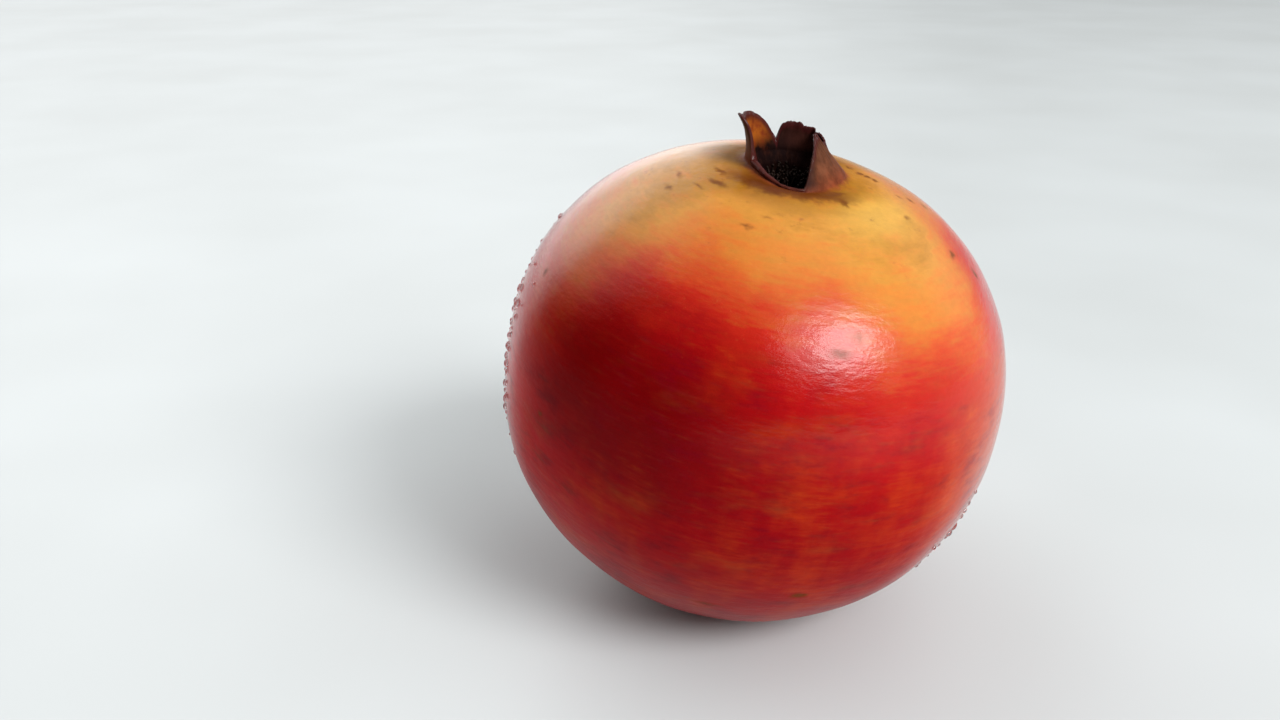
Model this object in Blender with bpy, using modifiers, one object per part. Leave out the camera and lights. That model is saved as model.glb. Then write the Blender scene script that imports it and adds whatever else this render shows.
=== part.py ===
"""A whole pomegranate, standing on the small flat spot that it rests on.

The fruit grew as one piece: its rind runs on, without a seam, into the crown, the short cup of sepals that the
flower left. So rind and crown are one solid. Two things are pieces of their own: the cut stub of the stem, in its
dimple underneath, and the tuft of dried stamens inside the crown.

Every piece is modelled about the fruit's growth axis, with the stem end at -Z, the crown at +Z and the widest
ring at z = 0. An empty then leans that axis over, the way the fruit lies, and lifts it onto the ground.
Lengths are in metres. Directions round the axis are in degrees, from +X towards +Y.
"""

import math

import bmesh
import bpy
from mathutils import Matrix, Vector

MM = 0.001

# The body: two half ovals that meet at the widest ring, each a superellipse of its own power.
BODY_RADIUS = 47.5 * MM
UPPER_HEIGHT = 43.4 * MM
LOWER_HEIGHT = 45.4 * MM
UPPER_POWER = 2.10
LOWER_POWER = 2.13
BODY_RINGS = 32

# What makes it a fruit and not a turned ball: faint ribs over the seed chambers, and fuller on one shoulder.
RIB_COUNT = 6
RIB_DEPTH = 0.004
RIB_DIRECTION = 20
SHOULDER_SWELL = 0.06

# The shoulder dips a little round the crown, and the stem end is a dimple with a flat floor.
SHOULDER_DIP = 1.8 * MM
SHOULDER_DIP_REACH = 14 * MM
STEM_DIMPLE = 2.2 * MM
STEM_DIMPLE_REACH = 2.2 * MM
STEM_FLOOR_RADIUS = 2.9 * MM

# The crown, as it would be with an even edge. Each sepal then raises its own part of the edge.
CROWN_BASE = 42.3 * MM
CROWN_HEIGHT = 4.0 * MM
CROWN_FOOT_RADIUS = 12.0 * MM
CROWN_OUTER_RADIUS = 9.0 * MM
CROWN_EDGE_RADIUS = 8.8 * MM
CUP_MOUTH_RADIUS = 7.6 * MM
CUP_FLOOR_RADIUS = 6.3 * MM
CUP_DEPTH = 5.0 * MM
CUP_CORNER = 3.0 * MM
EDGE_THICKNESS = 0.9 * MM

# The edge where no sepal stands, and the sepals: where each starts, peaks and ends round the axis, how high it
# peaks, how far its tip leans out from the cup, or in over it, and how steep it is at its start and at its end.
EDGE_HEIGHT = 0.5 * MM
SEPALS = (
    (112, 192, 211, 7.1 * MM, 2.2 * MM, 3.6, 5.0),
    (44, 103, 116, 4.9 * MM, 0.2 * MM, 3.2, 3.6),
    (20, 52, 86, 4.7 * MM, -2.2 * MM, 2.4, 2.4),
    (-81, -14, 60, 5.9 * MM, -4.6 * MM, 3.6, 2.4),
    (200, 226, 250, 0.9 * MM, 0.2 * MM, 2.0, 2.0),
)

# How the fruit lies: the crown leans to +X and to -Y, and its own weight has flattened the spot it rests on.
LEAN_TO_X = math.radians(9)
LEAN_TO_FRONT = math.radians(5.5)
REST_FLATTENING = 1.0 * MM

# The two separate pieces, and the gap that keeps them clear of the rind.
GAP = 0.3 * MM
STUB_RADIUS = 2.4 * MM
STUB_CUT_RADIUS = 2.7 * MM
STUB_INSET = 0.5 * MM
TUFT_FOOT_RADIUS = 4.4 * MM
TUFT_TOP_RADIUS = 5.0 * MM
TUFT_HEIGHT = 2.4 * MM

TURN_STEPS = 60


def clear_scene():
    for obj in list(bpy.data.objects):
        bpy.data.objects.remove(obj, do_unlink=True)


def new_collection(name):
    collection = bpy.data.collections.new(name)
    bpy.context.scene.collection.children.link(collection)
    return collection


def principled(name, colour, roughness):
    material = bpy.data.materials.new(name)
    material.use_nodes = True
    shader = material.node_tree.nodes["Principled BSDF"]
    shader.inputs["Base Color"].default_value = (*colour, 1.0)
    shader.inputs["Roughness"].default_value = roughness
    shader.inputs["Metallic"].default_value = 0.0
    return material


def between(start, end, share):
    return start + (end - start) * share


def straight(start, end, steps):
    """Points evenly along a straight line."""
    return [
        (between(start[0], end[0], i / steps), between(start[1], end[1], i / steps)) for i in range(steps + 1)
    ]


# ---------------------------------------------------------------- the outline that is turned


def body_point(polar):
    """(radius, height) on the body, at this angle from the growth axis, 0 at the crown's end."""
    if polar < math.pi / 2:
        height, power = UPPER_HEIGHT, UPPER_POWER
    else:
        height, power = LOWER_HEIGHT, LOWER_POWER
    across = abs(math.sin(polar)) / BODY_RADIUS
    along = abs(math.cos(polar)) / height
    distance = (across**power + along**power) ** (-1 / power)
    radius = distance * math.sin(polar)
    z = distance * math.cos(polar)
    if z > 0:
        z -= SHOULDER_DIP * math.exp(-((radius / SHOULDER_DIP_REACH) ** 2))
    else:
        past_floor = max(0, radius - STEM_FLOOR_RADIUS)
        z += STEM_DIMPLE * math.exp(-((past_floor / STEM_DIMPLE_REACH) ** 2))
    return radius, z


def body_outline():
    """From the crown's foot down to the middle of the stem's dimple."""
    start = math.asin(CROWN_FOOT_RADIUS / UPPER_HEIGHT)
    end = math.pi - math.asin(STEM_FLOOR_RADIUS / LOWER_HEIGHT)
    outline = [body_point(between(start, end, i / BODY_RINGS)) for i in range(BODY_RINGS + 1)]
    floor = outline[-1][1]
    return [*outline, (0, floor)]


def arc(middle, start, end, radii, steps):
    """Points on a quarter of an oval, from start to end degrees."""
    points = []
    for i in range(steps + 1):
        angle = math.radians(between(start, end, i / steps))
        points.append((middle[0] + radii[0] * math.cos(angle), middle[1] + radii[1] * math.sin(angle)))
    return points


def crown_outline():
    """From the middle of the cup's floor, up its inside, over the edge and out along the foot of its outside."""
    floor = CROWN_BASE - CUP_DEPTH
    half_edge = EDGE_THICKNESS / 2
    top = CROWN_BASE + CROWN_HEIGHT - half_edge
    skin = body_outline()[0][1]
    inner = (CROWN_EDGE_RADIUS - EDGE_THICKNESS, top)
    return [
        (0, floor),
        *arc((CUP_FLOOR_RADIUS - CUP_CORNER, floor + CUP_CORNER), -90, 0, (CUP_CORNER, CUP_CORNER), 3),
        *straight((CUP_MOUTH_RADIUS, CROWN_BASE), inner, 4),
        *arc((CROWN_EDGE_RADIUS - half_edge, top), 180, 0, (half_edge, half_edge), 4)[1:-1],
        *straight((CROWN_EDGE_RADIUS, top), (CROWN_OUTER_RADIUS, CROWN_BASE), 4),
        *arc(
            (CROWN_FOOT_RADIUS, CROWN_BASE),
            180,
            270,
            (CROWN_FOOT_RADIUS - CROWN_OUTER_RADIUS, CROWN_BASE - skin),
            3,
        )[1:-1],
    ]


# ---------------------------------------------------------------- what grows unevenly


def edge_at(direction):
    """(height of the crown's edge, how far it leans out) in this direction."""
    height, lean_out = EDGE_HEIGHT, 0.0
    for start, peak, end, tall, tip_lean, start_power, end_power in SEPALS:
        past_peak = (direction - peak + 180) % 360 - 180
        if past_peak > 0:
            off_peak, power = past_peak / (end - peak), end_power
        else:
            off_peak, power = past_peak / (start - peak), start_power
        if off_peak >= 1:
            continue
        rise = between(tall, EDGE_HEIGHT, off_peak**power)
        if rise > height:
            height, lean_out = rise, tip_lean * (1 - off_peak**2)
    return height, lean_out


def grown(point):
    """Where a point of the turned shape has grown to."""
    radius = math.hypot(point.x, point.y)
    if radius < 1e-7:
        return point
    angle = math.atan2(point.y, point.x)
    direction = math.degrees(angle)
    z = point.z
    if z > CROWN_BASE:
        height, lean_out = edge_at(direction)
        share = (z - CROWN_BASE) / CROWN_HEIGHT
        radius += lean_out * share**1.5
        z = CROWN_BASE + share * height
    elif radius > CROWN_OUTER_RADIUS:
        outward = (radius / BODY_RADIUS) ** 2
        rib = RIB_DEPTH * math.cos(math.radians(RIB_COUNT * (direction - RIB_DIRECTION)))
        size = 1 + rib * outward
        if z > 0:
            size += SHOULDER_SWELL * math.cos(angle) * outward * (z / UPPER_HEIGHT) ** 2
        radius *= size
    return Vector((radius * math.cos(angle), radius * math.sin(angle), z))


def turned_mesh(name, outline):
    """The outline turned once round the growth axis, as a closed mesh."""
    mesh = bpy.data.meshes.new(name + "_outline")
    edges = [(i, i + 1) for i in range(len(outline) - 1)]
    mesh.from_pydata([(radius, 0, z) for radius, z in outline], edges, [])
    guide = bpy.data.objects.new(name + "_outline", mesh)
    bpy.context.scene.collection.objects.link(guide)
    screw = guide.modifiers.new("turn", "SCREW")
    screw.axis = "Z"
    screw.steps = TURN_STEPS
    screw.render_steps = TURN_STEPS
    screw.use_merge_vertices = True
    screw.merge_threshold = 1e-6
    graph = bpy.context.evaluated_depsgraph_get()
    turned = bpy.data.meshes.new_from_object(guide.evaluated_get(graph))
    turned.name = name
    bpy.data.objects.remove(guide, do_unlink=True)
    bpy.data.meshes.remove(mesh)
    return turned


# ---------------------------------------------------------------- the pieces


def lean():
    """The turn from the growth axis to the way the fruit lies."""
    return Matrix.Rotation(LEAN_TO_FRONT, 3, "X") @ Matrix.Rotation(LEAN_TO_X, 3, "Y")


def make_fruit(collection):
    """Rind and crown, flattened where the fruit rests. Returns it and the place of its axis above the ground."""
    mesh = turned_mesh("fruit", crown_outline() + body_outline())
    body = bmesh.new()
    body.from_mesh(mesh)
    bmesh.ops.remove_doubles(body, verts=body.verts, dist=1e-6)
    for vertex in body.verts:
        vertex.co = grown(vertex.co)

    turn = lean()
    up = turn.inverted() @ Vector((0, 0, 1))
    ground = min(up.dot(vertex.co) for vertex in body.verts) + REST_FLATTENING
    everything = [*body.verts, *body.edges, *body.faces]
    cut = bmesh.ops.bisect_plane(
        body, geom=everything, dist=1e-7, plane_co=up * ground, plane_no=up, clear_inner=True
    )
    rim = [edge for edge in cut["geom_cut"] if isinstance(edge, bmesh.types.BMEdge)]
    bmesh.ops.edgenet_fill(body, edges=rim)
    bmesh.ops.recalc_face_normals(body, faces=body.faces)
    body.to_mesh(mesh)
    body.free()

    placed = [turn @ vertex.co for vertex in mesh.vertices]
    middle_x = (min(p.x for p in placed) + max(p.x for p in placed)) / 2
    middle_y = (min(p.y for p in placed) + max(p.y for p in placed)) / 2
    mesh.shade_smooth()
    mesh.set_sharp_from_angle(angle=math.radians(40))
    mesh.materials.append(principled("rind", (0.55, 0.06, 0.03), 0.35))
    fruit = bpy.data.objects.new("fruit", mesh)
    collection.objects.link(fruit)
    return fruit, Vector((-middle_x, -middle_y, -ground))


def make_cone(name, collection, foot_radius, top_radius, foot, height, material, bevel):
    """A closed round piece on the growth axis, from z = foot up."""
    mesh = bpy.data.meshes.new(name)
    shape = bmesh.new()
    bmesh.ops.create_cone(
        shape, cap_ends=True, segments=20, radius1=foot_radius, radius2=top_radius, depth=height
    )
    shape.to_mesh(mesh)
    shape.free()
    mesh.materials.append(material)
    piece = bpy.data.objects.new(name, mesh)
    piece.location.z = foot + height / 2
    collection.objects.link(piece)
    rounded = piece.modifiers.new("rounded_edges", "BEVEL")
    rounded.width = bevel
    rounded.segments = 2
    mesh.shade_smooth()
    mesh.set_sharp_from_angle(angle=math.radians(40))
    return piece


def make_stem_stub(collection):
    """The stem, clipped off just inside its dimple."""
    ceiling = -LOWER_HEIGHT + STEM_DIMPLE - GAP
    foot = -LOWER_HEIGHT + STUB_INSET
    wood = principled("stem_wood", (0.16, 0.10, 0.05), 0.8)
    return make_cone(
        "stem_stub", collection, STUB_CUT_RADIUS, STUB_RADIUS, foot, ceiling - foot, wood, 0.3 * MM
    )


def make_dried_stamens(collection):
    """The outer shape of the tuft of dried stamens on the cup's floor."""
    foot = CROWN_BASE - CUP_DEPTH + CUP_CORNER * 0.3 + GAP
    dry = principled("dried_stamen", (0.10, 0.04, 0.02), 0.7)
    return make_cone(
        "dried_stamens", collection, TUFT_FOOT_RADIUS, TUFT_TOP_RADIUS, foot, TUFT_HEIGHT, dry, 0.8 * MM
    )


def main():
    clear_scene()
    collection = new_collection("pomegranate")
    fruit, place = make_fruit(collection)
    axis = bpy.data.objects.new("growth_axis", None)
    collection.objects.link(axis)
    axis.location = place
    axis.rotation_euler = lean().to_euler()
    for piece in (fruit, make_stem_stub(collection), make_dried_stamens(collection)):
        piece.parent = axis


main()
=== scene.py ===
"""The looks of a whole, wet pomegranate that stands crown up.

Its pieces are the rind with the crown, the dried stamens, the stem stub and the drops on the skin. They are
modelled about the growth axis (crown at +Z, widest ring at z = 0, lengths in metres) and then placed by one
matrix, GROWTH, which leans that axis over as the CAD does. Directions round the axis are in degrees, from
+X towards +Y, so that the camera stands at about -90. Polar angles are in degrees too, from the crown.
"""

import math
import random

import bpy
from mathutils import Matrix, Vector, noise


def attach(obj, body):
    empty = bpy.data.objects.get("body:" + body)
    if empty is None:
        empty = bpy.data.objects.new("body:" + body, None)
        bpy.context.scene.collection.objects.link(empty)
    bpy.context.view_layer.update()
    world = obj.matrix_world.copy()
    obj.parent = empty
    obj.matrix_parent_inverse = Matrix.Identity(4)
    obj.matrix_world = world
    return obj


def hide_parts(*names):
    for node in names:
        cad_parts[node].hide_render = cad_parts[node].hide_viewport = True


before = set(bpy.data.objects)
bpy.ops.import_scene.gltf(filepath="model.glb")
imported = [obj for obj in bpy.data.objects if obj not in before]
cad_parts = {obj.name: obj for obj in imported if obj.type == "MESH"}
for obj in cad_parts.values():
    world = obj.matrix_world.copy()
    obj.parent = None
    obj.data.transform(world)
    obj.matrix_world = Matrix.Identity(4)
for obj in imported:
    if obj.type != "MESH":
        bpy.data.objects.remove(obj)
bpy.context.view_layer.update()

MM = 0.001

# The body's shape in the CAD, repeated here so that the fine mesh lies on it.
BODY_RADIUS = 47.5 * MM
UPPER_HEIGHT = 43.4 * MM
LOWER_HEIGHT = 45.4 * MM
UPPER_POWER = 2.10
LOWER_POWER = 2.13
RIB_COUNT = 6
RIB_DEPTH = 0.004
RIB_DIRECTION = 20
SHOULDER_SWELL = 0.06
SHOULDER_DIP = 1.8 * MM
SHOULDER_DIP_REACH = 14 * MM
STEM_DIMPLE = 2.2 * MM
STEM_DIMPLE_REACH = 2.2 * MM
STEM_FLOOR_RADIUS = 2.9 * MM
CENTRE_HEIGHT = 44.7 * MM
LEAN_TO_X = math.radians(9)
LEAN_TO_FRONT = math.radians(5.5)

# The fine mesh alone is also a little flatter on its left side, and its left shoulder isn't pulled in.
LEFT_FLATTENING = 0.015
LEFT_FLATTENING_REACH = 17 * MM

# The crown, as in the CAD but for its edge, which is thinner.
CROWN_BASE = 42.3 * MM
CROWN_FOOT_RADIUS = 12.0 * MM
CROWN_OUTER_RADIUS = 9.0 * MM
CUP_MOUTH_RADIUS = 7.6 * MM
CUP_FLOOR_RADIUS = 6.3 * MM
CUP_DEPTH = 5.0 * MM
CUP_CORNER = 3.0 * MM
EDGE_THICKNESS = 0.5 * MM

LEAN = Matrix.Rotation(LEAN_TO_FRONT, 4, "X") @ Matrix.Rotation(LEAN_TO_X, 4, "Y")
GROWTH = Matrix.Translation((0, 0, CENTRE_HEIGHT)) @ LEAN
FROM_GROWTH = GROWTH.inverted()


def between(start, end, share):
    return start + (end - start) * share


def smooth(share):
    share = min(max(share, 0.0), 1.0)
    return share * share * (3 - 2 * share)


def wrapped(degrees):
    """A direction from -180 to 180."""
    return (degrees + 180) % 360 - 180


def toward(direction):
    """The level unit vector in this direction."""
    return Vector((math.cos(math.radians(direction)), math.sin(math.radians(direction)), 0))


def around(direction, radius, z):
    """The point in this direction, this far from the axis and this high."""
    return toward(direction) * radius + Vector((0, 0, z))


# ---------------------------------------------------------------- the body's shape

# The lumps and ripples of the skin, and how far outside the stem's floor they reach their full height.
LUMP = 0.22 * MM
LUMP_SCALE = 55
RIPPLE = 0.018 * MM
RIPPLE_SCALE = 260
LUMP_FADE = 8 * MM

# How softly the resting spot turns up into the body. The pressing ends at so many times that height.
REST_BLEND = 0.12 * MM
REST_END = 12


def body_point(polar):
    """(radius, height) on the body, at this angle in radians from the crown's end of the growth axis."""
    if polar < math.pi / 2:
        height, power = UPPER_HEIGHT, UPPER_POWER
    else:
        height, power = LOWER_HEIGHT, LOWER_POWER
    across = abs(math.sin(polar)) / BODY_RADIUS
    along = abs(math.cos(polar)) / height
    distance = (across**power + along**power) ** (-1 / power)
    radius = distance * math.sin(polar)
    z = distance * math.cos(polar)
    if z > 0:
        z -= SHOULDER_DIP * math.exp(-((radius / SHOULDER_DIP_REACH) ** 2))
    else:
        past_floor = max(0, radius - STEM_FLOOR_RADIUS)
        z += STEM_DIMPLE * math.exp(-((past_floor / STEM_DIMPLE_REACH) ** 2))
    return radius, z


def body_position(polar, direction):
    """A point of the body, with its ribs, swell and lumps."""
    radius, z = body_point(polar)
    outward = (radius / BODY_RADIUS) ** 2
    size = 1 + RIB_DEPTH * math.cos(math.radians(RIB_COUNT * (direction - RIB_DIRECTION))) * outward
    to_right = (1 + math.cos(math.radians(direction))) / 2
    if z > 0:
        size += SHOULDER_SWELL * to_right**2 * outward * (z / UPPER_HEIGHT) ** 2
    size -= LEFT_FLATTENING * (1 - to_right) ** 3 * math.exp(-((z / LEFT_FLATTENING_REACH) ** 2))
    radius *= size
    point = around(direction, radius, z)
    lump = LUMP * noise.fractal(point * LUMP_SCALE, 1.0, 2.0, 2)
    lump += RIPPLE * noise.noise(point * RIPPLE_SCALE)
    fade = smooth((radius - STEM_FLOOR_RADIUS) / LUMP_FADE)
    return point * (1 + lump * fade / BODY_RADIUS)


def rested(point):
    """Where the fruit's weight has pressed this point: softly level where it would be below the ground."""
    world = GROWTH @ point
    above = world.z / REST_BLEND
    if above >= REST_END:
        return point
    world.z = REST_BLEND * math.log1p(math.exp(above))
    return FROM_GROWTH @ world


# ---------------------------------------------------------------- the crown's shape

# The sepals: where each starts, peaks and ends round the axis, how high it peaks and how far its tip leans
# out in mm, how steep its sides are at the start and at the end, how its lean grows with height, and how
# torn its edge is in mm. The fourth one is folded in over the mouth, further than in the CAD.
SEPALS = (
    (112, 192, 211, 7.1, 1.9, 3.6, 6.0, 1.7, 0.10),
    (44, 103, 116, 4.9, 0.2, 3.2, 3.6, 1.6, 0.50),
    (20, 52, 86, 4.7, -2.6, 2.4, 2.4, 1.1, 0.40),
    (-81, -14, 60, 5.9, -6.3, 4.4, 2.4, 0.9, 0.25),
    (200, 226, 250, 0.5, 0.2, 2.0, 2.0, 1.6, 0.20),
)

# The edge where no sepal stands, in mm, and how softly one sepal's lean passes into the next one's.
EDGE_HEIGHT = 0.35
EDGE_TORN = 0.12
TORN_SCALE = 6.0
TORN_PLACE = 3.7
SEAM_SOFTNESS = 0.35

# The tall sepal's hooked tip: direction, half width in degrees, and how far it goes out and up in mm.
HOOK_DIRECTION = 196
HOOK_WIDTH = 10
HOOK = 1.4
HOOK_RISE = 0.9

# The wall is thick at its foot and has its edge's thickness from THIN_HEIGHT on. EDGE_ROUNDNESS is how high
# the edge's rounding is, over half of its thickness.
THIN_HEIGHT = 3.5 * MM
EDGE_INSET = 0.35 * MM
EDGE_ROUNDNESS = 0.9
WRINKLE = 0.34 * MM
WRINKLE_SCALE = 3.6
WRINKLE_UPWARD = 0.8
CREASE = 0.3 * MM
CREASE_SCALE = 5
CREASE_UPWARD = 220

# The shares of the way up the cup between which its corner lies.
CORNER_START = 0.3
CORNER_END = 0.7

# How finely each part is divided.
WALL_RINGS = 26
EDGE_RINGS = 7
FOOT_RINGS = 10
CUP_RINGS = 30
BODY_RINGS = 150
TURN_STEPS = 360

# The worn front of the lip, which has sunk outwards and is thinner by SLUMP_THINNER.
SLUMP_DIRECTION = 270
SLUMP_HALF_WIDTH = 62
SLUMP_RADIUS = 9 * MM
SLUMP_REACH = 4.6 * MM
SLUMP_OUT = 1.5 * MM
SLUMP_DOWN = 1.4 * MM
SLUMP_THINNER = 0.9 * MM


def edge_at(direction):
    """(height of the crown's edge, how far it leans out, how its lean grows) in this direction, in mm.

    Where two sepals meet, the taller one sets the height, and the lean passes smoothly between them.
    """
    height, torn_depth = EDGE_HEIGHT, EDGE_TORN
    share, lean_out, lean_power = 0.0, 0.0, 0.0
    for start, peak, end, tall, tip_lean, start_power, end_power, growth, torn in SEPALS:
        past_peak = wrapped(direction - peak)
        if past_peak > 0:
            off_peak, power = past_peak / (end - peak), end_power
        else:
            off_peak, power = past_peak / (start - peak), start_power
        if off_peak >= 1:
            continue
        rise = between(tall, EDGE_HEIGHT, off_peak**power)
        weight = math.exp(rise / SEAM_SOFTNESS) - 1
        share += weight
        lean_out += weight * tip_lean * (1 - off_peak**3)
        lean_power += weight * growth
        if rise > height:
            height, torn_depth = rise, torn
    if share > 0:
        lean_out, lean_power = lean_out / (share + 1), (lean_power + 1) / (share + 1)
    ragged = noise.fractal(around(direction, TORN_SCALE, TORN_PLACE), 0.8, 2.1, 4)
    return height + ragged * torn_depth * min(1, height / 2), lean_out, max(lean_power, 1.0)


def slump_share(direction):
    """1 in the middle of the worn front and 0 beyond its ends."""
    return smooth(1 - abs(wrapped(direction - SLUMP_DIRECTION)) / SLUMP_HALF_WIDTH)


def slumped(point):
    """This point of the crown, moved to where the worn front of the lip has sunk."""
    radius = math.hypot(point.x, point.y)
    share = slump_share(math.degrees(math.atan2(point.y, point.x)))
    share *= smooth(1 - abs(radius - SLUMP_RADIUS) / SLUMP_REACH)
    outward = Vector((point.x, point.y, 0)).normalized()
    return point + (outward * SLUMP_OUT - Vector((0, 0, SLUMP_DOWN))) * share


def wall_point(direction, side, share):
    """A point of the crown's wall: side is -1 inside and 1 outside, share 0 at its foot, 1 at its edge."""
    height, lean_out, lean_power = edge_at(direction)
    height *= MM
    level = toward(direction)
    mouth = CUP_MOUTH_RADIUS + SLUMP_THINNER * slump_share(direction)
    base_middle = (CROWN_OUTER_RADIUS + mouth) / 2
    base_half = (CROWN_OUTER_RADIUS - mouth) / 2
    thin = smooth(share * height / THIN_HEIGHT)
    half = between(base_half, EDGE_THICKNESS / 2, thin)
    middle = between(base_middle, CROWN_OUTER_RADIUS - EDGE_INSET, thin)
    wrinkle = noise.fractal(level * WRINKLE_SCALE + Vector((0, 0, share * WRINKLE_UPWARD)), 1.0, 2.0, 4)
    middle += WRINKLE * wrinkle * share
    hook = math.exp(-((wrapped(direction - HOOK_DIRECTION) / HOOK_WIDTH) ** 2)) * share**4
    radius = middle + (lean_out * share**lean_power + HOOK * hook) * MM + half * side
    z = CROWN_BASE + share * height + HOOK_RISE * hook * MM
    if share == 1.0:
        z += half * math.sqrt(max(0.0, 1 - side * side)) * EDGE_ROUNDNESS
    return slumped(level * radius + Vector((0, 0, z)))


def foot_point(direction, share):
    """A point of the hollow curve from the wall's outer foot, share 0, to the body, share 1."""
    top = wall_point(direction, 1.0, 0.0)
    skin = body_position(math.asin(CROWN_FOOT_RADIUS / UPPER_HEIGHT), direction)
    turned = math.radians(90 * share)
    radius = between(math.hypot(skin.x, skin.y), math.hypot(top.x, top.y), math.cos(turned))
    return around(direction, radius, between(top.z, skin.z, math.sin(turned)))


def cup_point(direction, share):
    """A point of the cup below the crown's wall: share 0 is its middle and 1 the wall's inner foot."""
    floor = CROWN_BASE - CUP_DEPTH
    flat = CUP_FLOOR_RADIUS - CUP_CORNER
    if share < CORNER_START:
        radius, z = flat * share / CORNER_START, floor
    elif share < CORNER_END:
        turned = math.radians(90 * (share - CORNER_START) / (CORNER_END - CORNER_START))
        radius = flat + CUP_CORNER * math.sin(turned)
        z = floor + CUP_CORNER * (1 - math.cos(turned))
    else:
        up = (share - CORNER_END) / (1 - CORNER_END)
        top = wall_point(direction, -1.0, 0.0)
        radius = between(CUP_FLOOR_RADIUS, math.hypot(top.x, top.y), up)
        z = between(floor + CUP_CORNER, top.z, up)
    crease = noise.fractal(around(direction, CREASE_SCALE, z * CREASE_UPWARD), 0.9, 2.0, 3)
    radius += CREASE * crease * smooth(share / 0.5) * smooth((1 - share) / 0.1)
    return around(direction, radius, z)


# ---------------------------------------------------------------- meshes

# What the rind's points keep for its material, in mm: how far up the crown its wall's foot counts as, and
# how far below the crown's edge the cup's floor and the body count as.
FOOT_RISE = 3.0
FLOOR_BELOW_EDGE = 6.0
BODY_BELOW_EDGE = 10.0


def fruit_rings():
    """Rings from the middle of the cup, over the crown and down the body to the stem's dimple.

    Each ring is a list of (point, inner, rise, below_edge). inner is 1 on the crown's inside and 0 outside,
    rise is how far up the crown a point is and below_edge how far it is from the edge, both in mm.
    """
    directions = [360 * i / TURN_STEPS for i in range(TURN_STEPS)]
    rings = []
    for i in range(1, CUP_RINGS + 1):
        ring = []
        for d in directions:
            point = cup_point(d, i / (CUP_RINGS + 1))
            ring.append((point, 1.0, FOOT_RISE, edge_at(d)[0] + (CROWN_BASE - point.z) / MM))
        rings.append(ring)
    wall = [(-1.0, i / WALL_RINGS) for i in range(WALL_RINGS)]
    wall += [(-math.cos(math.pi * i / (EDGE_RINGS - 1)), 1.0) for i in range(EDGE_RINGS)]
    wall += [(1.0, 1 - i / WALL_RINGS) for i in range(1, WALL_RINGS + 1)]
    for side, share in wall:
        ring = []
        for d in directions:
            height = edge_at(d)[0]
            point = wall_point(d, side, share)
            ring.append((point, (1 - side) / 2, FOOT_RISE + share * height, height * (1 - share)))
        rings.append(ring)
    for i in range(1, FOOT_RINGS):
        share = i / FOOT_RINGS
        rise = FOOT_RISE * (1 - share)
        rings.append([(foot_point(d, share), 0.0, rise, 2 * FOOT_RISE - rise) for d in directions])
    start = math.asin(CROWN_FOOT_RADIUS / UPPER_HEIGHT)
    end = math.pi - math.asin(STEM_FLOOR_RADIUS / LOWER_HEIGHT)
    for i in range(BODY_RINGS + 1):
        polar = between(start, end, i / BODY_RINGS)
        rings.append([(rested(body_position(polar, d)), 0.0, 0.0, BODY_BELOW_EDGE) for d in directions])
    return rings


def ring_faces(ring_count, step_count):
    """Faces over rings of points, closed by a fan at the first point and at the last one."""
    last = 1 + ring_count * step_count
    faces = [(0, 1 + i, 1 + (i + 1) % step_count) for i in range(step_count)]
    for r in range(ring_count - 1):
        a = 1 + r * step_count
        b = a + step_count
        for i in range(step_count):
            after = (i + 1) % step_count
            faces.append((a + i, b + i, b + after, a + after))
    a = 1 + (ring_count - 1) * step_count
    faces += [(a + i, last, a + (i + 1) % step_count) for i in range(step_count)]
    return faces


def new_mesh(name, points, faces):
    mesh = bpy.data.meshes.new(name)
    mesh.from_pydata([tuple(p) for p in points], [], faces)
    mesh.shade_smooth()
    return mesh


def store(mesh, name, values):
    """Keeps one number for each point of the mesh, for its material."""
    mesh.attributes.new(name, "FLOAT", "POINT").data.foreach_set("value", values)


def new_object(name, data):
    thing = bpy.data.objects.new(name, data)
    bpy.context.scene.collection.objects.link(thing)
    return thing


def make_piece(name, mesh, material):
    """A piece of the object, placed from the growth frame into the world."""
    mesh.transform(GROWTH)
    mesh.materials.append(material)
    piece = new_object(name, mesh)
    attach(piece, "root")
    return piece


# ---------------------------------------------------------------- a short way to write nodes


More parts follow.
